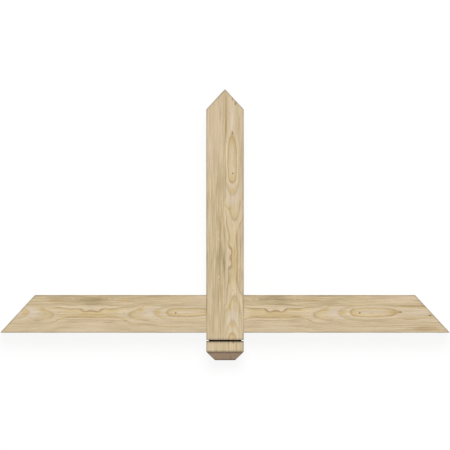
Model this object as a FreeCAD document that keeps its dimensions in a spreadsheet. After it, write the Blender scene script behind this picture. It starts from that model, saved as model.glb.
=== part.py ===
"""Timber gable bracket: an upright king post cross-lapped with a level tie beam.

It is modelled as it lies, flat on its back, in millimetres. X runs along the beam, Y runs up
the post towards the ridge, and Z comes out of the back face. The origin is on the back face
where the centre lines of the two timbers cross.
"""
import FreeCAD, Part

import os
import Sketcher

doc = FreeCAD.newDocument("gable_bracket")

# Driving dimensions, in millimetres except for the two numbers of the roof pitch.
SIZES = {
    "overall_width": 1828.8,  # tip to tip along the underside of the beam (72 in)
    "pitch_rise": 13,         # roof pitch, rise over run
    "pitch_run": 12,
    "post_face": 152.4,       # width of the king post seen from the front (6 in)
    "beam_face": 152.4,       # height of the tie beam seen from the front (6 in)
    "thickness": 101.6,       # both timbers, back to front (4 in)
    "neck_length": 29.4,      # post below the beam, down to the saw slot
    "slot_height": 6.35,      # saw slot around the post
    "slot_depth": 9.525,
    "block_length": 42.1,     # square block under the slot, before the chamfer
    "foot_chamfer": 34.925,   # 45 degree chamfer around the foot
    "lap_depth": 50.8,        # height of the lap's cheek above the back face
    "shoulder_gap": 0.25,     # clearance at each shoulder of the lap
}

sizes = doc.addObject("Spreadsheet::Sheet", "sizes")
for row, (alias, value) in enumerate(SIZES.items(), start=1):
    sizes.set(f"A{row}", alias)
    sizes.set(f"B{row}", str(value))
    sizes.setAlias(f"B{row}", alias)
doc.recompute()

# Places worked out from the driving dimensions.
PITCH = "(sizes.pitch_rise / sizes.pitch_run)"
HALF_WIDTH = "(sizes.overall_width / 2)"
HALF_POST = "(sizes.post_face / 2)"
HALF_BEAM = "(sizes.beam_face / 2)"
APEX = f"({HALF_WIDTH} * {PITCH} - {HALF_BEAM})"
PEAK_SHOULDER = f"({APEX} - {HALF_POST} * {PITCH})"
SLOT_BOTTOM = f"(-{HALF_BEAM} - sizes.neck_length - sizes.slot_height)"
FOOT_END = f"({SLOT_BOTTOM} - sizes.block_length - sizes.foot_chamfer)"


def new_sketch(body, name, plane="XY_Plane", offset="0"):
    """A sketch on one of the body's origin planes, moved along the plane's normal."""
    sketch = body.newObject("Sketcher::SketchObject", name)
    support = next(f for f in body.Origin.OriginFeatures if f.Role == plane)
    sketch.AttachmentSupport = (support, [""])
    sketch.MapMode = "FlatFace"
    sketch.setExpression("AttachmentOffset.Base.z", offset)
    return sketch


def draw_outline(sketch, corners):
    """A closed outline of straight lines, each corner held by an expression for each axis."""
    points = [FreeCAD.Vector(float(sketch.evalExpression(x)), float(sketch.evalExpression(y)), 0)
              for x, y in corners]
    first = sketch.GeometryCount
    for start, end in zip(points, points[1:] + points[:1]):
        sketch.addGeometry(Part.LineSegment(start, end), False)
    for i, (x, y) in enumerate(corners):
        line = first + i
        before = first + (i - 1) % len(corners)
        sketch.addConstraint(Sketcher.Constraint("Coincident", before, 2, line, 1))
        for kind, place, value in (("DistanceX", x, points[i].x), ("DistanceY", y, points[i].y)):
            index = sketch.addConstraint(Sketcher.Constraint(kind, -1, 1, line, 1, value))
            sketch.setExpression(f"Constraints[{index}]", place)


def draw_rectangle(sketch, half_width, low, high):
    """A rectangle centred across the sketch's first axis, between two heights on its second."""
    left = f"(-{half_width})"
    draw_outline(sketch, [(left, low), (half_width, low), (half_width, high), (left, high)])


def pad(body, sketch, name, length):
    """Raise the sketch into a solid along its normal."""
    feature = body.newObject("PartDesign::Pad", name)
    feature.Profile = sketch
    feature.setExpression("Length", length)
    doc.recompute()
    return feature


def pocket(body, sketch, name, length, reverse):
    """Cut the sketch out of the body, and check that it took material away."""
    before = body.Shape.Volume
    feature = body.newObject("PartDesign::Pocket", name)
    feature.Profile = sketch
    feature.Reversed = reverse
    feature.setExpression("Length", length)
    doc.recompute()
    if not body.Shape.Volume < before - 1:
        raise RuntimeError(f"{name} cut nothing")
    return feature


def make_king_post():
    """The upright: ridge cuts on top, a saw slot and a chamfered foot, the lap in its back."""
    body = doc.addObject("PartDesign::Body", "king_post")
    outline = new_sketch(body, "post_outline")
    draw_outline(outline, [
        (f"(-{HALF_POST})", FOOT_END),
        (HALF_POST, FOOT_END),
        (HALF_POST, PEAK_SHOULDER),
        ("0", APEX),
        (f"(-{HALF_POST})", PEAK_SHOULDER),
    ])
    blank = pad(body, outline, "post_blank", "sizes.thickness")

    # The chamfer runs around the four edges of the foot's end.
    end_y = min(vertex.Y for vertex in blank.Shape.Vertexes)
    end_edges = [f"Edge{i}" for i, edge in enumerate(blank.Shape.Edges, start=1)
                 if all(abs(vertex.Y - end_y) < 0.001 for vertex in edge.Vertexes)]
    chamfer = body.newObject("PartDesign::Chamfer", "foot_taper")
    chamfer.Base = (blank, end_edges)
    chamfer.setExpression("Size", "sizes.foot_chamfer")
    doc.recompute()

    # The slot is a square ring, cut upwards from its lower side.
    ring = new_sketch(body, "slot_ring", "XZ_Plane", f"(-{SLOT_BOTTOM})")
    draw_rectangle(ring, HALF_POST, "0", "sizes.thickness")
    draw_rectangle(ring, f"({HALF_POST} - sizes.slot_depth)",
                   "sizes.slot_depth", "(sizes.thickness - sizes.slot_depth)")
    pocket(body, ring, "saw_slot", "sizes.slot_height", reverse=False)

    notch = new_sketch(body, "post_lap_outline")
    shoulder = f"({HALF_BEAM} + sizes.shoulder_gap)"
    draw_rectangle(notch, HALF_POST, f"(-{shoulder})", shoulder)
    pocket(body, notch, "post_lap", "sizes.lap_depth", reverse=True)
    return body


def make_tie_beam():
    """The level timber: both ends cut on the roof pitch, the lap in its front."""
    body = doc.addObject("PartDesign::Body", "tie_beam")
    outline = new_sketch(body, "beam_outline")
    top_end = f"({HALF_WIDTH} - sizes.beam_face / {PITCH})"
    draw_outline(outline, [
        (f"(-{HALF_WIDTH})", f"(-{HALF_BEAM})"),
        (HALF_WIDTH, f"(-{HALF_BEAM})"),
        (top_end, HALF_BEAM),
        (f"(-{top_end})", HALF_BEAM),
    ])
    pad(body, outline, "beam_blank", "sizes.thickness")

    notch = new_sketch(body, "beam_lap_outline", offset="sizes.lap_depth")
    draw_rectangle(notch, f"({HALF_POST} + sizes.shoulder_gap)", f"(-{HALF_BEAM})", HALF_BEAM)
    pocket(body, notch, "beam_lap", "(sizes.thickness - sizes.lap_depth)", reverse=True)
    return body


bodies = [make_king_post(), make_tie_beam()]
doc.recompute()

for obj in doc.Objects:
    if {"Invalid", "Error"} & set(obj.State):
        raise RuntimeError(f"{obj.Label} failed: {obj.State}")

os.makedirs("parts", exist_ok=True)
for body in bodies:
    shape = body.Shape
    if shape.isNull() or not shape.isValid() or len(shape.Solids) != 1:
        raise RuntimeError(f"{body.Label} is not one sound solid")
    shape.exportStep(f"parts/{body.Label}.step")
    box = shape.BoundBox
    print(f"{body.Label}: {shape.Volume / 1e6:.3f} litres, X {box.XMin:.3f} to {box.XMax:.3f}, "
          f"Y {box.YMin:.3f} to {box.YMax:.3f}, Z {box.ZMin:.3f} to {box.ZMax:.3f}")
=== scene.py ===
"""Timber gable bracket: a rough-sawn king post lapped flush across a tie beam.

The bracket lies flat on its back on a pale floor, with the ridge towards +Y. Each timber is a
fine grid mesh whose skin is roughened by Geometry Nodes. The growth rings that raise the skin
are the same ones that colour it, because both come from HeartGrain.
"""
import logging
import math
from dataclasses import dataclass, field
from enum import Enum
from typing import Any, Iterable, Optional

import bmesh
import bpy
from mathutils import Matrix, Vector, noise


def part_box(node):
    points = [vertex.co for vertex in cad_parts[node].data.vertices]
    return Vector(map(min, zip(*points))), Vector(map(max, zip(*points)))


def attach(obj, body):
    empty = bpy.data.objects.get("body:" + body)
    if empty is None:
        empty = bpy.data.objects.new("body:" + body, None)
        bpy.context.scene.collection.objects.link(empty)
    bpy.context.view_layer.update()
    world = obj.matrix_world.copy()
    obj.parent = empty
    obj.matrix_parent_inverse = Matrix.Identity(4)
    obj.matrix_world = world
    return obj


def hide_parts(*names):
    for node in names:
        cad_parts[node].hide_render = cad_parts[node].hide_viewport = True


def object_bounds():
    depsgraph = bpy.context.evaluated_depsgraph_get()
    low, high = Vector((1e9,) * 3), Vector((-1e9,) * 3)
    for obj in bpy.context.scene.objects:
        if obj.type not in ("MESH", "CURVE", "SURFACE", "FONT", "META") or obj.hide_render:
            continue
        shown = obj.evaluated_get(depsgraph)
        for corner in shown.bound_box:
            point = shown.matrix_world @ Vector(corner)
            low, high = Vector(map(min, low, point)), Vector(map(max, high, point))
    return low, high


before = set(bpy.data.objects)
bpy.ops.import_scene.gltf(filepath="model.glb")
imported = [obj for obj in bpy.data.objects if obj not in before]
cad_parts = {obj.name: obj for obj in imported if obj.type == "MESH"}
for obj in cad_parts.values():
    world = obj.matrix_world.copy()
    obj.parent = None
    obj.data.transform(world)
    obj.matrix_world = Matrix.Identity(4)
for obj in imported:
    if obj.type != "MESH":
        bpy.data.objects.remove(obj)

LOG = logging.getLogger("gable_bracket")
CAD_BOX = [list(corner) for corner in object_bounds()]
MM = 0.001
PITCH = 13 / 12                        # rise of the roof over its run

Socket = bpy.types.NodeSocket
Tree = bpy.types.NodeTree
Colour = tuple[float, float, float, float]

MATH = "ShaderNodeMath"
VECTOR = "ShaderNodeVectorMath"
RANGE = "ShaderNodeMapRange"
NOISE = "ShaderNodeTexNoise"
MIX = "ShaderNodeMix"
IN_COLOUR = {"out": 2, "data_type": "RGBA"}      # a MIX node then blends inputs 6 and 7


class Axis(Enum):
    """The axis of the frame that a timber's grain runs along."""

    X = 0
    Y = 1


class Cut(Enum):
    """How a part of a timber's skin was sawn, and so which finish it takes."""

    FACE = 0
    END = 1
    KERF = 2


def linear(code: str) -> Colour:
    """Turn an sRGB hex colour into linear values.

    Args:
        code: Six hex digits, such as "CEBB99".

    Returns:
        Linear red, green and blue, with an alpha of 1.
    """
    parts = [int(code[i:i + 2], 16) / 255 for i in (0, 2, 4)]
    red, green, blue = (p / 12.92 if p <= 0.04045 else ((p + 0.055) / 1.055) ** 2.4 for p in parts)
    return red, green, blue, 1.0


def add(tree: Tree, kind: str, inputs: Any = (), out: int | str = 0,
        **settings: Any) -> Optional[Socket]:
    """Add a node, set its properties and feed its inputs.

    Args:
        tree: The shader or geometry tree that gets the node.
        kind: The node's type name.
        inputs: Values or sockets, in order or by input name or number.
        out: Which output to return, by name or number.
        **settings: Properties of the node.

    Returns:
        The chosen output socket of the new node, or None where it has none.
    """
    made = tree.nodes.new(kind)
    for name, value in settings.items():
        setattr(made, name, value)
    for key, value in inputs.items() if isinstance(inputs, dict) else enumerate(inputs):
        if isinstance(value, bpy.types.NodeSocket):
            tree.links.new(value, made.inputs[key])
        else:
            made.inputs[key].default_value = value
    return made.outputs[out] if made.outputs else None


def stretch(tree: Tree, place: Iterable[Socket], sizes: Iterable[float],
            centre: Iterable[float] = (0.0, 0.0, 0.0)) -> Socket:
    """Scale coordinates so that a pattern drawn on them gets its real size.

    Args:
        tree: The tree to build in.
        place: Two or three coordinates in millimetres.
        sizes: How large the pattern is along each of them.
        centre: Where the pattern is centred on each of them.

    Returns:
        The scaled coordinates.
    """
    scaled = [add(tree, MATH, (value, 1 / size, -start / size), operation="MULTIPLY_ADD")
              for value, size, start in zip(place, sizes, centre)]
    return add(tree, "ShaderNodeCombineXYZ", scaled)


def vary(tree: Tree, colour: Socket, pattern: Socket, swing: float) -> Socket:
    """Lighten a colour by a share, swing, where a pattern runs high, and darken it where low."""
    level = add(tree, RANGE, (pattern, 0.25, 0.75, 1 - swing, 1 + swing))
    return add(tree, VECTOR, {0: colour, "Scale": level}, operation="SCALE")


def bare_material(name: str) -> bpy.types.Material:
    """Make a material whose tree is still empty.

    Args:
        name: The material's name.

    Returns:
        The material.
    """
    mat = bpy.data.materials.new(name)
    mat.use_nodes = True
    mat.node_tree.nodes.clear()
    return mat


@dataclass(frozen=True)
class Mark:
    """A local mark in the figure: a knot, a stain or a streak, an oval in grain millimetres."""

    along: float
    across: float
    length: float                  # half its length
    width: float                   # half its width
    colour: str
    strength: float = 1.0
    core: float = 0.0              # share of it that is solid before it fades
    broken: float = 0.5            # how far the fibres break it up


@dataclass(frozen=True)
class GrainSockets:
    """Where a point lies in the log, all in millimetres."""

    along: Socket                  # distance from the nearest swirl, along the grain
    across: Socket                 # distance from the seam, across the grain
    deep: Socket                   # depth below the front face
    run: Socket                    # place along the timber
    radius: Socket                 # distance from the heart
    off_heart: Socket              # sideways part of that distance
    under_heart: Socket            # downward part of that distance

    @property
    def place(self) -> tuple[Socket, Socket, Socket]:
        """The three coordinates that streaks and flecks are drawn on."""
        return self.run, self.across, self.deep


@dataclass(frozen=True, kw_only=True)
class HeartGrain:
    """The solid figure of a boxed-heart timber, as growth rings around a wandering heart.

    Both timbers show one figure, opening to both sides of each swirl beside a covered knot.
    Grain millimetres are measured from the swirl along the timber, and from the seam between
    the streaky and the clear wood across it.
    """

    axis: Axis
    swirls: tuple[float, ...]      # places of the swirls along the timber
    across_sign: float             # which way the clear wood lies from the seam
    seam: float                    # place of the seam across the timber
    thickness: float
    seed: float
    reach: float = 700.0           # how far from a swirl the figure is described
    changeover: float = 60.0       # half the stretch where one swirl hands over to the next
    late_spacing: float = 2.6      # between growth rings far from the heart
    drift_along: float = 14.0      # mm that a full drift moves the figure along the timber
    drift_across: float = 9.0      # mm that it moves the figure across
    tremble_across: float = 5.0    # mm that a full tremble moves it
    # Depth of the heart below the front face, against the distance from the swirl.
    heart_depth: tuple[tuple[float, float], ...] = (
        (0, 77.95), (50, 77.95), (85, 78.3), (115, 77.1), (140, 75.2), (155, 73.5), (165, 72.8),
        (175, 72.2), (190, 70.9), (210, 68.3), (225, 65.9), (240, 64.8), (255, 64.0), (265, 62.9),
        (285, 60.2), (300, 58.6), (325, 56.0), (350, 55.4), (400, 55.2), (450, 56.0), (480, 57.1),
        (505, 58.4), (550, 59.2), (700, 60.2))
    # Distance of the heart from the seam, against the distance from the swirl.
    heart_across: tuple[tuple[float, float], ...] = (
        (0, 31.6), (110, 32.6), (145, 36), (160, 40), (175, 40), (190, 38), (200, 36), (212, 32),
        (225, 31), (255, 31.5), (320, 30), (505, 30), (700, 31))
    # How far the rings are pushed aside where they pass the covered knot.
    knot_push: tuple[tuple[float, float], ...] = (
        (0, 12.4), (12, 13.2), (24, 15.6), (33, 12.8), (42, 8.2), (51, 1.8), (60, 0), (700, 0))
    knot_across: float = 26.0      # where across the grain the push is strongest
    knot_width: float = 14.0       # how quickly it fades to both sides

    def curve(self, tree: Tree, value: Socket, points: Iterable[tuple[float, float]], low: float,
              high: float) -> Socket:
        """Read a smooth curve through points.

        Args:
            tree: The tree to build in.
            value: Distance from the swirl in millimetres.
            points: Pairs of distance and result.
            low: Result at the bottom of the curve.
            high: Result at the top of the curve.

        Returns:
            The result in millimetres.
        """
        share = add(tree, MATH, (value, self.reach), operation="DIVIDE")
        read = add(tree, "ShaderNodeFloatCurve", {"Value": share})
        line = read.node.mapping.curves[0]
        for i, (place, result) in enumerate(points):
            at = (place / self.reach, (result - low) / (high - low))
            if i < 2:
                line.points[i].location = at
            else:
                line.points.new(*at)
        read.node.mapping.update()
        return add(tree, MATH, (read, high - low, low), operation="MULTIPLY_ADD")

    def wander(self, tree: Tree, place: Iterable[Socket]) -> tuple[Socket, Socket]:
        """Let the grain drift over a hand's width and tremble over a finger's.

        Args:
            tree: The tree to build in.
            place: Where along, across and below the front face, in millimetres.

        Returns:
            The drift and the tremble, each around 0.
        """
        drift_at = stretch(tree, place, (160, 60, 60))
        drift = add(tree, NOISE, {"Vector": drift_at, "W": self.seed, "Scale": 1.0, "Detail": 3.0,
                                  "Roughness": 0.55}, noise_dimensions="4D")
        tremble_at = add(tree, VECTOR, (drift_at, (8.0, 6.0, 6.0)), operation="MULTIPLY")
        tremble = add(tree, NOISE, {"Vector": tremble_at, "Detail": 2.0, "Scale": 1.0})
        return (add(tree, MATH, (drift, 0.5), operation="SUBTRACT"),
                add(tree, MATH, (tremble, 0.5), operation="SUBTRACT"))

    def sockets(self, tree: Tree, position: Socket) -> GrainSockets:
        """Work out where a point lies in the log.

        Args:
            tree: A shader tree or a geometry tree.
            position: The point in the frame, in metres.

        Returns:
            The point's grain coordinates.
        """
        scaled = add(tree, VECTOR, {0: position, "Scale": 1 / MM}, operation="SCALE")
        place = add(tree, "ShaderNodeSeparateXYZ", (scaled,)).node.outputs
        run = place[self.axis.value]
        side = place[1 - self.axis.value]
        deep = add(tree, MATH, (self.thickness, place[2]), operation="SUBTRACT")
        drift, tremble = self.wander(tree, (run, side, deep))

        distances = [add(tree, MATH, (add(tree, MATH, (run, swirl), operation="SUBTRACT"),),
                         operation="ABSOLUTE") for swirl in self.swirls]
        along = distances[0]
        for further in distances[1:]:
            # The change from one swirl to the next lies under the post.
            blend = add(tree, RANGE, (run, -self.changeover, self.changeover, 0.0, 1.0),
                        interpolation_type="SMOOTHSTEP")
            along = add(tree, MIX, {0: blend, 2: along, 3: further})
        along = add(tree, MATH, (drift, self.drift_along, along), operation="MULTIPLY_ADD")
        across = add(tree, MATH, (side, self.across_sign, -self.seam * self.across_sign),
                     operation="MULTIPLY_ADD")
        across = add(tree, MATH, (drift, self.drift_across, across), operation="MULTIPLY_ADD")
        across = add(tree, MATH, (tremble, self.tremble_across, across), operation="MULTIPLY_ADD")

        # The rings dip where the grain swirls past the covered knot.
        push = self.curve(tree, along, self.knot_push, 0, 16)
        beside = add(tree, MATH, (across, 1 / self.knot_width, -self.knot_across / self.knot_width),
                     operation="MULTIPLY_ADD")
        squared = add(tree, MATH, (beside, beside), operation="MULTIPLY")
        fade = add(tree, MATH, (math.e, squared), operation="POWER")
        bent = add(tree, MATH, (across, add(tree, MATH, (push, fade), operation="DIVIDE")),
                   operation="SUBTRACT")

        heart_at = self.curve(tree, along, self.heart_across, 20, 40)
        heart_deep = self.curve(tree, along, self.heart_depth, 50, 80)
        off = add(tree, MATH, (bent, heart_at), operation="SUBTRACT")
        below = add(tree, MATH, (deep, heart_deep), operation="SUBTRACT")
        from_heart = add(tree, "ShaderNodeCombineXYZ", (off, below, 0.0))
        radius = add(tree, VECTOR, (from_heart,), out="Value", operation="LENGTH")
        return GrainSockets(along, across, deep, run, radius, off, below)

    def growth(self, tree: Tree, g: GrainSockets) -> Socket:
        """Draw rings as a soft run of lines that can't be told apart, high in latewood."""
        lines_at = stretch(tree, (g.radius, g.run), (self.late_spacing, 420))
        return add(tree, NOISE, {"Vector": lines_at, "Scale": 1.0, "Detail": 1.5})


@dataclass(frozen=True)
class RoughSawnPine:
    """Pine band sawn along the grain and left bare.

    It gives the eye pale straw wood with thin brown latewood lines, gold where resin lies close
    under the surface, a dry matt skin of short fibres, and painted shade along the arrises.
    """

    grain: HeartGrain
    name: str = "pine rough sawn along the grain"
    body: str = "CFBC9C"
    latewood: str = "B39D75"
    streaky: str = "CDBA98"
    streaky_late: str = "AD9872"
    # Colour of the painted shade along the arrises.
    arris: str = "675D4B"
    roughness: float = 0.82
    specular: float = 0.25
    saw_ridges: float = 3.0        # mm between the ridges that a band saw leaves
    # Colours met on the way out from the heart, as ring radius and colour.
    rings: tuple[tuple[float, str], ...] = (
        (54.0, "D3C0A4"), (55.4, "D2BF9F"), (56.1, "D0BA8E"), (56.9, "C8B082"), (57.4, "B3986F"),
        (57.8, "B3986F"), (58.3, "CFBB98"), (59.0, "D8C5AA"), (60.2, "D2BFA2"), (61.4, "CFBC98"),
        (63.0, "CAB58B"), (63.7, "BBA57F"), (64.3, "CEBCA2"), (65.4, "D3C2AA"), (68.0, "D1BFA2"),
        (70.0, "CFBC98"), (72.0, "CBB68D"), (72.9, "C2AC82"), (73.3, "AE976F"), (73.9, "CFBC9A"),
        (75.5, "D3C1A3"), (77.5, "D2BF9B"), (78.6, "CEB88B"), (79.2, "C3A97B"), (79.6, "A1865F"),
        (80.3, "A1865F"), (80.9, "D3BFA1"), (81.9, "D8C5A8"), (83.6, "D1BE9D"), (87.0, "CFBC9C"))
    marks: tuple[Mark, ...] = tuple(Mark(*row) for row in (
        # Pink and straw tones that wash over a whole area.
        (0, 90, 130, 34, "D8C6AA", 0.7),
        (470, -60, 230, 24, "D9C4AA", 0.8),
        (560, -26, 190, 30, "D6C2A6", 0.6, 0.3, 0.2),
        (150, -62, 120, 16, "D3C1A0", 0.7),
        (0, -66, 60, 14, "BDAE8A", 0.7),
        (240, 32, 26, 20, "D6C5AE", 0.8),
        (575, 30, 60, 22, "D5C3AB", 0.6),
        (66, 9, 84, 7, "DCC9A6", 0.65, 0.4, 0.4),
        # Gold, where a ring runs close under the skin.
        (0, 39, 88, 12, "C5AD7B", 0.9, 0.3, 0.4),
        (272, 31, 17, 11, "CCAF78", 0.8, 0.2),
        (198, 19, 20, 9, "C3A971", 0.85, 0.2, 0.3),
        (481, 30, 24, 9, "C8AA70", 0.8, 0.2),
        (325, 34, 20, 11, "CCB17C", 0.6, 0.2),
        # Dark stain and streaks in the wood above the seam.
        (0, -17, 105, 24, "AE9C77", 0.85, 0.3, 0.6),
        (0, -22, 78, 7, "8E7B5C", 0.7, 0.3, 0.8),
        (0, -12, 50, 4, "9C8864", 0.6, 0.3, 0.8),
        (0, -4, 74, 5, "978361", 0.7, 0.3, 0.7),
        (0, -33, 60, 4, "A6936F", 0.6, 0.2, 0.8),
        (70, -1, 92, 2.2, "9E8761", 0.85, 0.4, 0.6),
        (76, -24, 27, 8, "A9926C", 0.8, 0.1, 0.4),
        (76, -24.5, 13, 3.2, "D6C1A6", 1.0, 0.3, 0.1),
        (140, -18.5, 62, 4.4, "B0925C", 0.95, 0.2, 0.4),
        (150, -27, 75, 4, "B7A074", 0.7, 0.2, 0.6),
        (180, -8, 70, 6, "BBA57D", 0.6, 0.1, 0.9),
        (280, -30, 110, 5, "BDA880", 0.35, 0.1, 0.9),
        (590, -19, 55, 8, "AE946A", 0.7, 0.1, 0.8),
        (575, -5, 120, 6, "B5A27A", 0.6, 0.2, 0.4),
        # Stretches where single rings stand out or fade.
        (85, 55, 150, 7, "CDB995", 0.75, 0.4, 0.2),
        (575, 3.5, 135, 3.4, "A2865A", 0.95, 0.5, 0.15),
        (310, 1, 140, 2.0, "B09970", 0.7, 0.4, 0.3),
        (548, 58, 48, 3.0, "B2996A", 0.85, 0.3, 0.5),
        (60, 48, 125, 1.9, "A68D67", 0.4, 0.4, 0.6),
        (390, 66, 120, 2.0, "AB946E", 0.85, 0.3, 0.6),
        (380, 73, 130, 2.0, "B09A75", 0.8, 0.3, 0.7),
        (420, 85, 120, 2.2, "B8A27C", 0.6, 0.3, 0.8),
        (615, 95, 75, 14, "AC8F68", 0.8, 0.3, 0.7),
        # Pin knots and knots.
        (388, 33, 22, 2.4, "BFA28A", 0.9, 0.2, 0.3),
        (342, 32, 5.2, 4.2, "7C5F42", 1.0, 0.35, 0.0),
        (131, 31, 3.6, 2.6, "A68D69", 0.8, 0.3, 0.0),
        (507, 30, 11, 6.0, "957B5C", 0.95, 0.2, 0.2),
        (627, 41, 13, 6.0, "8C7355", 0.95, 0.2, 0.4),
        (646, 30, 15, 6.0, "A08262", 0.8, 0.2, 0.5),
        (75, 69, 38, 2.8, "A39074", 0.7, 0.3, 0.4),
        (40, 61.5, 110, 2.4, "A38F6D", 0.85, 0.3, 0.6),
        (220, 61, 24, 5, "A99780", 0.7, 0.2, 0.4)))

    def build(self) -> bpy.types.Material:
        """Build the material.

        Returns:
            The finished material.
        """
        mat = bare_material(f"{self.name}, {self.grain.axis.name}")
        tree = mat.node_tree
        g = self.grain.sockets(tree, add(tree, "ShaderNodeTexCoord", out="Object"))
        fibre, streak, broad = (self.streaks(tree, g, *size) for size in (
            (1.6, 55.0, 0.0), (4.4, 120.0, 7.0), (17.0, 280.0, 19.0)))
        wood = self.figure(tree, g, streak)
        wood = self.marked(tree, g, wood, streak)
        wood = self.fibred(tree, g, wood, (fibre, streak, broad))

        # Painted shade darkens a strip along each arris, broken up by the streaks.
        near_edge = add(tree, "ShaderNodeAttribute", out="Fac", attribute_name="arris")
        edge_shade = add(tree, MATH, (near_edge, add(tree, RANGE, (streak, 0.3, 0.7, 0.4, 0.9))),
                   operation="MULTIPLY")
        wood = add(tree, MIX, {0: edge_shade, 6: wood, 7: linear(self.arris)}, **IN_COLOUR)

        # The saw's ridges run across the grain, with lifted fibres between them.
        teeth_at = stretch(tree, g.place, (self.saw_ridges, 40, 40))
        teeth = add(tree, NOISE, {"Vector": teeth_at, "Scale": 1.0, "Detail": 1.0})
        skin = add(tree, MATH, (teeth, 0.5, fibre), operation="MULTIPLY_ADD")
        bump = add(tree, "ShaderNodeBump", {"Strength": 0.55, "Distance": 0.7 * MM, "Height": skin})
        shader = add(tree, "ShaderNodeBsdfPrincipled", {
            "Base Color": wood, "Roughness": self.roughness, "Specular IOR Level": self.specular,
            "IOR": 1.5, "Normal": bump})
        add(tree, "ShaderNodeOutputMaterial", (shader,))
        return mat

    def streaks(self, tree: Tree, g: GrainSockets, width: float, length: float,
                shift: float) -> Socket:
        """Draw noise out along the grain, with a shift that sets each kind of streak apart."""
        where = stretch(tree, g.place, (length, width, width))
        return add(tree, NOISE, {"Vector": where, "W": self.grain.seed + shift, "Scale": 1.0,
                                 "Detail": 2.0}, noise_dimensions="4D")

    def near_rings(self, tree: Tree, g: GrainSockets) -> Socket:
        """Colour a point by its distance from the heart.

        Args:
            tree: The material's tree.
            g: Grain coordinates of the shaded point.

        Returns:
            The colour of the ring that the point lies in.
        """
        low, high = self.rings[0][0], self.rings[-1][0]
        ramp = add(tree, "ShaderNodeValToRGB", (add(tree, RANGE, (g.radius, low, high, 0.0, 1.0)),))
        stops = ramp.node.color_ramp.elements
        for i, (radius, code) in enumerate(self.rings):
            place = (radius - low) / (high - low)
            stop = stops[i] if i < 2 else stops.new(place)
            stop.position, stop.color = place, linear(code)
        return ramp

    def figure(self, tree: Tree, g: GrainSockets, streak: Socket) -> Socket:
        """Paint the growth rings.

        Args:
            tree: The material's tree.
            g: Grain coordinates of the shaded point.
            streak: Streaks a few millimetres wide.

        Returns:
            The wood's colour before its marks.
        """
        far = add(tree, RANGE, (self.grain.growth(tree, g), 0.42, 0.72, 0.0, 0.75))
        plain = add(tree, MIX, {0: far, 6: linear(self.body), 7: linear(self.latewood)},
                    **IN_COLOUR)

        # A ring shows clearly near the heart and the front face, and comes and goes elsewhere.
        off = add(tree, MATH, (g.off_heart,), operation="ABSOLUTE")
        known = add(tree, RANGE, (g.radius, 82.0, 88.0, 1.0, 0.0))
        for limit in (add(tree, RANGE, (off, 25.0, 36.0, 1.0, 0.2)),
                      add(tree, RANGE, (g.radius, 45.0, 54.0, 0.0, 1.0)),
                      add(tree, RANGE, (streak, 0.34, 0.62, 1.0, 0.55))):
            known = add(tree, MATH, (known, limit), operation="MULTIPLY")
        wood = add(tree, MIX, {0: known, 6: plain, 7: self.near_rings(tree, g)}, **IN_COLOUR)

        # Beyond the seam the saw ran along the rings, and streaks take their place. They are
        # strong beside a swirl and calm far from it.
        beyond = add(tree, RANGE, (g.across, 0.8, -0.8, 0.0, 1.0))
        busy = add(tree, RANGE, (g.along, 250.0, 390.0, 0.6, 0.3))
        dark = add(tree, RANGE, (streak, 0.38, 0.66, 0.05, busy))
        streaky = add(tree, MIX, {0: dark, 6: linear(self.streaky), 7: linear(self.streaky_late)},
                      **IN_COLOUR)
        return add(tree, MIX, {0: beyond, 6: wood, 7: streaky}, **IN_COLOUR)

    def marked(self, tree: Tree, g: GrainSockets, wood: Socket, streak: Socket) -> Socket:
        """Lay the knots, stains and resin streaks over the figure.

        Args:
            tree: The material's tree.
            g: Grain coordinates of the shaded point.
            wood: The colour so far.
            streak: Streaks that break the marks up.

        Returns:
            The marked colour.
        """
        gap = add(tree, RANGE, (streak, 0.36, 0.64, 1.0, 0.0))
        for mark in self.marks:
            place = stretch(tree, (g.along, g.across), (mark.length, mark.width),
                            (mark.along, mark.across))
            distance = add(tree, VECTOR, (place,), out="Value", operation="LENGTH")
            amount = add(tree, RANGE, (distance, mark.core, 1.0, mark.strength, 0.0),
                         interpolation_type="SMOOTHSTEP")
            kept = add(tree, MATH, (gap, -mark.broken, 1.0), operation="MULTIPLY_ADD")
            amount = add(tree, MATH, (amount, kept), operation="MULTIPLY")
            wood = add(tree, MIX, {0: amount, 6: wood, 7: linear(mark.colour)}, **IN_COLOUR)
        return wood

    def fibred(self, tree: Tree, g: GrainSockets, wood: Socket,
               streaks: tuple[Socket, Socket, Socket]) -> Socket:
        """Vary the colour from fibre to fibre.

        Args:
            tree: The material's tree.
            g: Grain coordinates of the shaded point.
            wood: The colour so far.
            streaks: Fine, medium and broad streaks.

        Returns:
            The finished colour.
        """
        for streak, swing in zip(streaks, (0.10, 0.12, 0.07)):
            wood = vary(tree, wood, streak, -swing)
        # Flecks of torn fibre are about 1 mm wide in real wood, and drawn as 3 mm.
        fleck_at = stretch(tree, g.place, (16, 3, 3))
        fleck = add(tree, NOISE, {"Vector": fleck_at, "Scale": 1.0, "Detail": 1.0})
        tone = add(tree, VECTOR, (fleck.node.outputs["Color"], (0.10, 0.12, 0.15),
                                  (0.915, 0.905, 0.89)), operation="MULTIPLY_ADD")
        tone = add(tree, VECTOR, (fleck, (0.07, 0.07, 0.07), tone), operation="MULTIPLY_ADD")
        return add(tree, VECTOR, (wood, tone), operation="MULTIPLY")


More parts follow.
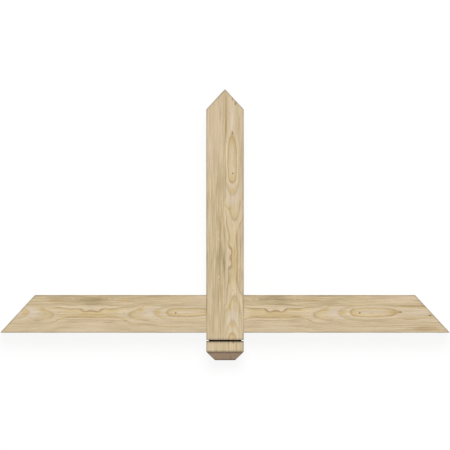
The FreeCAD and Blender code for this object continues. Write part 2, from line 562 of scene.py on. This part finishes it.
@dataclass(frozen=True)
class CrossCutPine:
    """Pine sawn across or aslant the grain.

    It gives the eye a duller, browner surface than the faces, with arcs of growth rings around
    the heart, a stipple of torn fibre ends, and a few dark drying checks.
    """

    grain: HeartGrain
    name: str = "pine sawn across the grain"
    body: str = "C2A88E"
    latewood: str = "A2866A"
    check: str = "6E5641"
    # Colour of the painted shade along the arrises.
    arris: str = "64564A"
    roughness: float = 0.9
    specular: float = 0.2
    ring_width: float = 4.2        # mm between growth rings
    check_reach: float = 58.0      # mm from the heart to where the drying checks close

    def build(self) -> bpy.types.Material:
        """Build the material.

        Returns:
            The finished material.
        """
        mat = bare_material(f"{self.name}, {self.grain.axis.name}")
        tree = mat.node_tree
        position = add(tree, "ShaderNodeTexCoord", out="Object")
        g = self.grain.sockets(tree, position)
        rings_at = add(tree, MATH, (g.radius, 1 / self.ring_width), operation="MULTIPLY")
        year = add(tree, NOISE, {"W": rings_at, "Scale": 1.6, "Detail": 1.0}, noise_dimensions="1D")
        late = add(tree, RANGE, (year, 0.44, 0.64, 0.0, 0.75))
        wood = add(tree, MIX, {0: late, 6: linear(self.body), 7: linear(self.latewood)},
                   **IN_COLOUR)
        split = self.checks(tree, g)
        wood = add(tree, MIX, {0: split, 6: wood, 7: linear(self.check)}, **IN_COLOUR)

        # Pores and torn bundles of fibres stipple the cut.
        place = add(tree, VECTOR, {0: position, "Scale": 1 / MM}, operation="SCALE")
        pores = add(tree, NOISE, {"Vector": place, "Scale": 0.55, "Detail": 3.0})
        bundle_at = stretch(tree, g.place, (70, 6, 6))
        bundles = add(tree, NOISE, {"Vector": bundle_at, "Scale": 1.0, "Detail": 2.0})
        wood = vary(tree, vary(tree, wood, pores, 0.13), bundles, 0.10)
        # Painted shade darkens a strip along each arris.
        near_edge = add(tree, "ShaderNodeAttribute", out="Fac", attribute_name="arris")
        edge_shade = add(tree, MATH, (near_edge, 0.8), operation="MULTIPLY")
        wood = add(tree, MIX, {0: edge_shade, 6: wood, 7: linear(self.arris)}, **IN_COLOUR)
        height = add(tree, MATH, (split, -2.0, pores), operation="MULTIPLY_ADD")
        bump = add(tree, "ShaderNodeBump", {"Strength": 0.6, "Distance": 0.5 * MM, "Height": height})
        shader = add(tree, "ShaderNodeBsdfPrincipled", {
            "Base Color": wood, "Roughness": self.roughness, "Specular IOR Level": self.specular,
            "IOR": 1.5, "Normal": bump})
        add(tree, "ShaderNodeOutputMaterial", (shader,))
        return mat

    def checks(self, tree: Tree, g: GrainSockets) -> Socket:
        """Open the drying checks that run out from the heart, each a hair wide.

        Args:
            tree: The material's tree.
            g: Grain coordinates of the shaded point.

        Returns:
            1 inside a check, and 0 in sound wood.
        """
        turn = add(tree, MATH, (g.under_heart, g.off_heart), operation="ARCTAN2")
        ray = add(tree, NOISE, {"W": turn, "Scale": 1.7, "Detail": 1.0}, noise_dimensions="1D")
        ray = add(tree, MATH, (ray, 0.5), operation="SUBTRACT")
        ray = add(tree, MATH, (add(tree, MATH, (ray,), operation="ABSOLUTE"), g.radius),
                  operation="MULTIPLY")
        opening = add(tree, RANGE, (g.radius, 6.0, self.check_reach, 0.85, 0.0))
        return add(tree, MATH, (add(tree, RANGE, (ray, 0.05, 0.20, 1.0, 0.0)), opening),
                   operation="MULTIPLY")


@dataclass(frozen=True)
class KerfShadow:
    """Pine inside the saw slot, coloured near-black as painted shade in the slot: dark brown and quite
    dull.
    """

    name: str = "pine in the saw slot with painted shade"
    # Both colours are painted shade: the slot's walls are coloured near-black in place of the shade
    # inside the slot.
    slot_shade: str = "140B06"
    slot_shade_patch: str = "33210F"

    def build(self) -> bpy.types.Material:
        """Build the material.

        Returns:
            The finished material.
        """
        mat = bare_material(self.name)
        tree = mat.node_tree
        place = add(tree, VECTOR, {0: add(tree, "ShaderNodeTexCoord", out="Object"), "Scale": 1 / MM},
                    operation="SCALE")
        # Patches vary the painted slot shade between the two dark browns.
        patches = add(tree, NOISE, {"Vector": place, "Scale": 0.4, "Detail": 2.0})
        share = add(tree, RANGE, (patches, 0.4, 0.7, 0.0, 0.6))
        colour = add(tree, MIX, {0: share, 6: linear(self.slot_shade), 7: linear(self.slot_shade_patch)},
                     **IN_COLOUR)
        shader = add(tree, "ShaderNodeBsdfPrincipled", {
            "Base Color": colour, "Roughness": 0.95, "Specular IOR Level": 0.1})
        add(tree, "ShaderNodeOutputMaterial", (shader,))
        return mat


@dataclass(frozen=True)
class Station:
    """A ring of the timber's skin: how far along it lies and how far it is set in."""

    at: float
    inset: float = 0.0
    cut: Cut = Cut.FACE            # how the skin between this ring and the next was sawn


@dataclass
class Skin:
    """A timber's surface in the making."""

    points: list[Vector] = field(default_factory=list)
    near: list[float] = field(default_factory=list)      # how much painted edge shade each point gets, by how near an arris it is
    faces: list[tuple[int, ...]] = field(default_factory=list)
    cuts: list[int] = field(default_factory=list)        # how each face was sawn

    def mesh(self, name: str) -> bpy.types.Mesh:
        """Turn the surface into a mesh.

        Args:
            name: The mesh's name.

        Returns:
            A mesh of quads that face outwards. Its face attribute "cut" holds the kind of saw
            cut, and its point attribute "arris" how much painted edge shade a point gets.
        """
        mesh = bpy.data.meshes.new(name)
        mesh.from_pydata(self.points, [], self.faces)
        work = bmesh.new()
        work.from_mesh(mesh)
        bmesh.ops.recalc_face_normals(work, faces=work.faces)
        work.to_mesh(mesh)
        work.free()
        mesh.attributes.new("cut", "INT", "FACE").data.foreach_set("value", self.cuts)
        mesh.attributes.new("arris", "FLOAT", "POINT").data.foreach_set("value", self.near)
        return mesh


@dataclass(kw_only=True)
class SawnTimber:
    """A rectangular timber whose skin is a fine grid, ready for its rough-sawn relief."""

    node: str
    grain: HeartGrain
    arris: float = 1.5 * MM          # rounding of the sawn edges
    ease: float = 0.6 * MM           # rounding of the edges around an end or the slot
    edge_shade_width: float = 5.0 * MM        # width of the strip of painted shade beside each edge
    end_fade: float = 0.6            # how fast the painted edge shade fades from an end, against from a side
    crisp: float = 28.0              # degrees between faces whose shared edge stays sharp
    step_along: float = 4.6 * MM     # grid spacing along the grain
    step_across: float = 2.3 * MM    # grid spacing across the grain
    ring_relief: float = 0.22 * MM   # how far latewood stands above earlywood
    wave_relief: float = 0.35 * MM   # slow unevenness left by the saw
    shoulder_gap: float = 0.25 * MM
    lap_margin: float = 10 * MM      # how far the lap's cutting block reaches into the open

    def __post_init__(self) -> None:
        """Read the timber's corners from the frame and divide its section into a grid."""
        self.low, self.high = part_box(self.node)
        across = 1 - self.grain.axis.value
        self.sides = self.samples(self.low[across], self.high[across])
        self.ups = self.samples(self.low.z, self.high.z)

    def spread(self, low: float, high: float, step: float) -> list[float]:
        """List places from low to high, evenly spaced by no more than a step."""
        count = max(1, math.ceil((high - low) / step))
        return [low + (high - low) * i / count for i in range(count + 1)]

    def samples(self, low: float, high: float) -> list[float]:
        """Divide one side of the section, with a narrow strip at each arris."""
        return [low, *self.spread(low + self.arris, high - self.arris, self.step_across), high]

    def stations(self) -> list[Station]:
        """List the rings of the skin, from one end of the timber to the other."""
        raise NotImplementedError

    def place(self, at: float, side: float, up: float) -> Vector:
        """Put a point of the skin in the frame."""
        raise NotImplementedError

    def lap_box(self) -> tuple[Vector, Vector]:
        """Give the corners of the wood that the lap takes out of this timber."""
        raise NotImplementedError

    def edges(self) -> list[float]:
        """List the places along the timber where an arris runs around it."""
        raise NotImplementedError

    def edge_shade_factor(self, point: Vector) -> float:
        """Share of the usual painted edge shade that an arris gets at a point of the skin."""
        return 1.0

    def edge_shade_at(self, off_arris: float) -> float:
        """Share of the full painted edge shade at a distance from an arris."""
        return max(0.0, 1 - off_arris / self.edge_shade_width)

    def wear(self, point: Vector) -> float:
        """How far the saw and rough use took the arris off at a point, as a share of it."""
        return 0.30 + 0.22 * noise.noise(point * 45) + 0.12 * noise.noise(point * 260)

    def rim(self) -> list[tuple[int, int]]:
        """List the outer grid points, once around, by their numbers across and up the section."""
        across, up = len(self.sides) - 1, len(self.ups) - 1
        return ([(i, up) for i in range(across)] + [(across, j) for j in range(up, 0, -1)]
                + [(i, 0) for i in range(across, 0, -1)] + [(0, j) for j in range(up)])

    def off_edges(self, i: int, j: int) -> tuple[float, float]:
        """How far a grid point lies from the nearer side, and from the nearer of front and back."""
        return (min(self.sides[i] - self.sides[0], self.sides[-1] - self.sides[i]),
                min(self.ups[j] - self.ups[0], self.ups[-1] - self.ups[j]))

    def on_skin(self, station: Station, i: int, j: int) -> Vector:
        """Find where a grid point of the section lies on one ring of the skin.

        Args:
            station: The ring.
            i: The point's number across the section.
            j: The point's number up the section.

        Returns:
            The point in the frame, set in with its ring, and worn where it is on an arris.
        """
        sides, ups = self.sides, self.ups
        middle = Vector(((sides[0] + sides[-1]) / 2, (ups[0] + ups[-1]) / 2))
        half = Vector(((sides[-1] - sides[0]) / 2, (ups[-1] - ups[0]) / 2))
        flat = Vector((sides[i], ups[j])) - middle
        if i in (0, len(sides) - 1) and j in (0, len(ups) - 1):
            worn = self.arris * self.wear(self.place(station.at, sides[i], ups[j]))
            flat -= Vector((math.copysign(worn, flat.x), math.copysign(worn, flat.y)))
        shrink = Vector((1 - station.inset / half.x, 1 - station.inset / half.y))
        return self.place(station.at, *(middle + flat * shrink))

    def wall(self, skin: Skin, rings: list[Station]) -> None:
        """Lay the skin around the timber, ring by ring.

        Args:
            skin: The surface to add to.
            rings: The rings from one end to the other.
        """
        rim, edges = self.rim(), self.edges()
        size = len(rim)
        for ring in rings:
            # Each point stores how much painted shade its arris gives it.
            off_end = self.end_fade * min(abs(ring.at - edge) for edge in edges)
            for i, j in rim:
                skin.points.append(self.on_skin(ring, i, j))
                skin.near.append(self.edge_shade_factor(skin.points[-1])
                                 * self.edge_shade_at(min(off_end, sum(self.off_edges(i, j)))))
        for k, ring in enumerate(rings[:-1]):
            for n in range(size):
                m = (n + 1) % size
                skin.faces.append((k * size + n, k * size + m, (k + 1) * size + m, (k + 1) * size + n))
                skin.cuts.append(ring.cut.value)

    def cap(self, skin: Skin, ring: Station, base: int) -> None:
        """Close one end of the timber.

        Args:
            skin: The surface to add to.
            ring: The ring at that end.
            base: The number of that ring's first point.
        """
        number = {outer: base + n for n, outer in enumerate(self.rim())}
        across, up = len(self.sides) - 1, len(self.ups) - 1
        for i in range(1, across):
            for j in range(1, up):
                number[i, j] = len(skin.points)
                skin.points.append(self.on_skin(ring, i, j))
                skin.near.append(self.edge_shade_at(min(self.off_edges(i, j))))
        for i in range(across):
            for j in range(up):
                face = (number[i, j], number[i + 1, j], number[i + 1, j + 1], number[i, j + 1])
                skin.faces.append(face if base else face[::-1])
                skin.cuts.append(Cut.END.value)

    def blank(self) -> bpy.types.Mesh:
        """Build the timber's closed skin, without the lap.

        Returns:
            The mesh of the blank.
        """
        skin, rings = Skin(), self.stations()
        self.wall(skin, rings)
        last = len(skin.points) - len(self.rim())
        self.cap(skin, rings[0], 0)
        self.cap(skin, rings[-1], last)
        return skin.mesh(f"{self.node}_blank")

    def relief_tree(self, finishes: dict[Cut, bpy.types.Material]) -> Tree:
        """Build the nodes that roughen the skin, saw out the lap and lay on the finishes.

        Args:
            finishes: The material for each kind of saw cut.

        Returns:
            A geometry tree with its sizes as named inputs.
        """
        tree = bpy.data.node_groups.new(f"rough_sawn_{self.node}", "GeometryNodeTree")
        panel = tree.interface
        panel.new_socket("Timber", in_out="INPUT", socket_type="NodeSocketGeometry")
        for name in ("Ring relief", "Wave relief"):
            panel.new_socket(name, in_out="INPUT", socket_type="NodeSocketFloat")
        for name in ("Lap size", "Lap centre"):
            panel.new_socket(name, in_out="INPUT", socket_type="NodeSocketVector")
        panel.new_socket("Timber", in_out="OUTPUT", socket_type="NodeSocketGeometry")
        given = add(tree, "NodeGroupInput").node.outputs

        # Earlywood wears away between the harder rings, and the saw leaves slow waves.
        position = add(tree, "GeometryNodeInputPosition")
        year = self.grain.growth(tree, self.grain.sockets(tree, position))
        early = add(tree, RANGE, (year, 0.40, 0.66, 1.0, 0.0))
        wave = add(tree, NOISE, {"Vector": position, "Scale": 14.0, "Detail": 2.0})
        depth = add(tree, MATH, (early, given["Ring relief"]), operation="MULTIPLY")
        depth = add(tree, MATH, (wave, given["Wave relief"], depth), operation="MULTIPLY_ADD")
        inward = add(tree, VECTOR, {0: add(tree, "GeometryNodeInputNormal"),
                                    "Scale": add(tree, MATH, (depth, -1.0), operation="MULTIPLY")},
                     operation="SCALE")
        rough = add(tree, "GeometryNodeSetPosition", {"Geometry": given["Timber"], "Offset": inward})

        block = add(tree, "GeometryNodeMeshCube", {"Size": given["Lap size"]})
        block = add(tree, "GeometryNodeTransform", {"Geometry": block,
                                                    "Translation": given["Lap centre"]})
        lapped = add(tree, "GeometryNodeMeshBoolean", {0: rough, 1: block}, operation="DIFFERENCE",
                     solver="EXACT")
        dressed = add(tree, "GeometryNodeRealizeInstances", (lapped,))
        cut = add(tree, "GeometryNodeInputNamedAttribute", {"Name": "cut"}, data_type="INT")
        for kind, finish in finishes.items():
            chosen = add(tree, "FunctionNodeCompare", {2: cut, 3: kind.value}, data_type="INT",
                         operation="EQUAL")
            dressed = add(tree, "GeometryNodeSetMaterial", {
                "Geometry": dressed, "Selection": chosen, "Material": finish})
        add(tree, "NodeGroupOutput", (dressed,))
        return tree

    def build(self, finishes: dict[Cut, bpy.types.Material]) -> bpy.types.Object:
        """Make the finished timber and let it stand for its CAD node.

        Args:
            finishes: The material for each kind of saw cut.

        Returns:
            The finished piece.
        """
        rough = bpy.data.objects.new(f"{self.node}_rough", self.blank())
        bpy.context.collection.objects.link(rough)
        relief = rough.modifiers.new("relief", "NODES")
        relief.node_group = self.relief_tree(finishes)
        low, high = self.lap_box()
        values = {"Ring relief": self.ring_relief, "Wave relief": self.wave_relief,
                  "Lap size": high - low, "Lap centre": (high + low) / 2}
        for item in relief.node_group.interface.items_tree:
            if item.in_out == "INPUT" and item.name in values:
                relief[item.identifier] = values[item.name]
        evaluated = rough.evaluated_get(bpy.context.evaluated_depsgraph_get())
        mesh = bpy.data.meshes.new_from_object(evaluated)
        bpy.data.objects.remove(rough)
        mesh.name = f"{self.node}_timber"
        mesh.shade_smooth()
        mesh.set_sharp_from_angle(angle=math.radians(self.crisp))
        piece = bpy.data.objects.new(f"{self.node}_timber", mesh)
        bpy.context.collection.objects.link(piece)
        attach(piece, "root")
        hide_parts(self.node)
        return piece


@dataclass(kw_only=True)
class KingPost(SawnTimber):
    """The upright: ridge cuts, the saw slot and the tapered foot, with the lap in its back."""

    node: str = "king_post"
    neck: float = 29.4 * MM          # from the beam's underside to the slot
    slot_height: float = 6.35 * MM
    slot_depth: float = 9.525 * MM
    taper: float = 34.925 * MM       # 45 degree chamfer around the foot
    square_length: float = 200 * MM  # above the foot's end, before the rings start to slope
    edge_shade_at_lap: float = 0.2            # share of the painted edge shade left where the beam meets the post

    def __post_init__(self) -> None:
        """Read the corners of the post and of the beam that it crosses, and place the slot."""
        super().__post_init__()
        self.beam_low, self.beam_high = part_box("tie_beam")
        self.slot_top = self.beam_low.y - self.neck
        self.slot_bottom = self.slot_top - self.slot_height

    def stations(self) -> list[Station]:
        """List the rings from the foot's end to the ridge.

        Returns:
            The end, the taper, the block, the slot's three sides, and the shaft.
        """
        foot, apex, ease, deepest = self.low.y, self.high.y, self.ease, self.slot_depth
        step = self.step_across
        depths = self.spread(deepest / 3, deepest, step)
        return [
            Station(foot, self.taper + ease, Cut.END),
            *(Station(foot + rise, self.taper - rise, Cut.END)
              for rise in self.spread(ease, self.taper - ease, step)),
            *(Station(at) for at in self.spread(foot + self.taper + ease, self.slot_bottom - ease,
                                                step)),
            Station(self.slot_bottom, ease, Cut.KERF),
            *(Station(self.slot_bottom, inset, Cut.KERF) for inset in depths),
            *(Station(at, deepest, Cut.KERF)
              for at in self.spread(self.slot_bottom, self.slot_top, step)[1:]),
            *(Station(self.slot_top, inset, Cut.KERF) for inset in depths[-2::-1]),
            Station(self.slot_top, ease),
            *(Station(at) for at in self.spread(self.slot_top + ease, apex - ease,
                                                self.step_along)),
            Station(apex, ease)]

    def edges(self) -> list[float]:
        """List the foot's end, the taper, both lips of the slot, and the ridge."""
        return [self.low.y, self.low.y + self.taper, self.slot_bottom, self.slot_top, self.high.y]

    def edge_shade_factor(self, point: Vector) -> float:
        """Share of the usual painted edge shade at a point: little of it is left where the beam meets
        the post.
        """
        return self.edge_shade_at_lap if self.beam_low.y < point.y < self.beam_high.y else 1.0

    def place(self, at: float, side: float, up: float) -> Vector:
        """Put a point of the skin in the frame, sloping the rings towards the ridge cuts.

        Args:
            at: How far up the post the point's ring lies on the centre line.
            side: The point's place across the post.
            up: Its height above the back face.

        Returns:
            The point.
        """
        level = self.low.y + self.square_length
        if at > level:
            top = self.high.y - abs(side) * PITCH
            at = level + (at - level) * (top - level) / (self.high.y - level)
        return Vector((side, at, up))

    def lap_box(self) -> tuple[Vector, Vector]:
        """Give the lowest and the highest corner of the notch in the post's back."""
        half = (self.beam_low.z + self.beam_high.z) / 2
        return (Vector((self.low.x - self.lap_margin, self.beam_low.y - self.shoulder_gap,
                        -self.lap_margin)),
                Vector((self.high.x + self.lap_margin, self.beam_high.y + self.shoulder_gap, half)))


@dataclass(kw_only=True)
class TieBeam(SawnTimber):
    """The level timber: both ends cut on the roof pitch, with the lap in its front."""

    node: str = "tie_beam"

    def stations(self) -> list[Station]:
        """List the rings from the left end to the right end."""
        inner = self.spread(self.low.x + self.ease, self.high.x - self.ease, self.step_along)
        return [Station(self.low.x, self.ease), *(Station(at) for at in inner),
                Station(self.high.x, self.ease)]

    def edges(self) -> list[float]:
        """List the two end cuts."""
        return [self.low.x, self.high.x]

    def place(self, at: float, side: float, up: float) -> Vector:
        """Put a point of the skin in the frame, sloping the rings towards the end cuts."""
        half_length = self.high.x - (side - self.low.y) / PITCH
        return Vector((at / self.high.x * half_length, side, up))

    def lap_box(self) -> tuple[Vector, Vector]:
        """Give the lowest and the highest corner of the notch in the beam's front."""
        low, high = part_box("king_post")
        half = (low.z + high.z) / 2
        return (Vector((low.x - self.shoulder_gap, self.low.y - self.lap_margin, half)),
                Vector((high.x + self.shoulder_gap, self.high.y + self.lap_margin,
                        self.high.z + self.lap_margin)))


@dataclass(kw_only=True)
class Studio:
    """A pale floor, soft light from the ridge side, and a camera straight above the bracket."""

    floor_reach: float = 30.0        # half the floor's side
    floor_gap: float = 0.4 * MM      # keeps the floor off the bracket's back
    floor_shadow: float = 0.15       # share of the floor's look that the light on it makes
    floor_glow: float = 1.04         # strength at which the rest of it reads as white
    ambient: float = 0.42
    key_energy: float = 2.33
    key_spread: float = 35.0         # degrees across the sky, for soft shadows
    key_turn: tuple[float, float] = (-35.0, 4.0)     # degrees from overhead about X and Y
    camera_distance: float = 19.7    # from the front face
    view_centre: float = 0.3617      # place up the post at the middle of the view

    def build(self) -> None:
        """Lay the floor, light the bracket and set the camera."""
        bpy.context.scene.view_settings.view_transform = "Standard"
        self.lay_floor()
        self.light()
        self.set_camera()

    def seen_directly(self, tree: Tree) -> Socket:
        """Tell a ray from the camera, or one in gloss or glass, from the rays that carry light.

        Args:
            tree: The tree of a material or of the world.

        Returns:
            1 for a ray that shows the surface, and 0 for the rest.
        """
        ray = add(tree, "ShaderNodeLightPath").node.outputs
        seen = ray["Is Camera Ray"]
        for kind in ("Is Glossy Ray", "Is Transmission Ray"):
            seen = add(tree, MATH, (seen, ray[kind]), operation="ADD", use_clamp=True)
        return seen

    def lay_floor(self) -> None:
        """Lay a pale floor that shows white and keeps the bracket's soft shadow."""
        mesh = bpy.data.meshes.new("floor")
        corners = [(x * self.floor_reach, y * self.floor_reach, 0)
                   for x, y in ((-1, -1), (1, -1), (1, 1), (-1, 1))]
        mesh.from_pydata(corners, [], [(0, 1, 2, 3)])
        floor = bpy.data.objects.new("floor", mesh)
        floor.location.z = -self.floor_gap
        bpy.context.collection.objects.link(floor)
        mat = bare_material("pale floor")
        tree = mat.node_tree
        diffuse = add(tree, "ShaderNodeBsdfDiffuse", {"Color": (0.8, 0.8, 0.8, 1)})
        bright = add(tree, "ShaderNodeEmission", {"Color": (1, 1, 1, 1), "Strength": self.floor_glow})
        glow = add(tree, "ShaderNodeMixShader", (self.floor_shadow, bright, diffuse))
        shown = add(tree, "ShaderNodeMixShader", (self.seen_directly(tree), diffuse, glow))
        add(tree, "ShaderNodeOutputMaterial", (shown,))
        mesh.materials.append(mat)

    def light(self) -> None:
        """Light the bracket from the sky and from one large lamp."""
        world = bpy.data.worlds.new("studio")
        bpy.context.scene.world = world
        world.use_nodes = True
        tree = world.node_tree
        tree.nodes.clear()
        level = add(tree, RANGE, (self.seen_directly(tree), 0.0, 1.0, self.ambient, 1.0))
        backdrop = add(tree, "ShaderNodeBackground", {"Color": (1, 1, 1, 1), "Strength": level})
        add(tree, "ShaderNodeOutputWorld", (backdrop,))

        lamp = bpy.data.lights.new("key", "SUN")
        lamp.energy = self.key_energy
        lamp.angle = math.radians(self.key_spread)
        key = bpy.data.objects.new("key", lamp)
        key.rotation_euler = (*(math.radians(turn) for turn in self.key_turn), 0)
        bpy.context.collection.objects.link(key)

    def set_camera(self) -> None:
        """Set the camera so that the bracket's width fills the view."""
        cam = bpy.data.cameras.new("camera")
        half_width, front = CAD_BOX[1][0], CAD_BOX[1][2]
        cam.lens = cam.sensor_width / 2 * self.camera_distance / half_width
        cam.clip_end = 100.0
        camera = bpy.data.objects.new("camera", cam)
        camera.location = (0.0, self.view_centre, front + self.camera_distance)
        bpy.context.collection.objects.link(camera)
        bpy.context.scene.camera = camera


def main() -> None:
    """Build the bracket and its studio."""
    logging.basicConfig(level=logging.INFO, format="%(message)s")
    thickness = (CAD_BOX[1][2] - CAD_BOX[0][2]) / MM
    beam_grain = HeartGrain(axis=Axis.X, swirls=(-543.0, 206.0), across_sign=-1.0, seam=36.2,
                            thickness=thickness, seed=3.0)
    post_grain = HeartGrain(axis=Axis.Y, swirls=(228.0,), across_sign=1.0, seam=0.0,
                            thickness=thickness, seed=11.0)
    # The saw slot's walls take KerfShadow, coloured near-black as painted shade.
    for timber in (TieBeam(grain=beam_grain), KingPost(grain=post_grain)):
        piece = timber.build({Cut.FACE: RoughSawnPine(timber.grain).build(),
                              Cut.END: CrossCutPine(timber.grain).build(),
                              Cut.KERF: KerfShadow().build()})
        LOG.info("%s: %d faces", piece.name, len(piece.data.polygons))
    Studio().build()


if __name__ == "__main__":
    main()
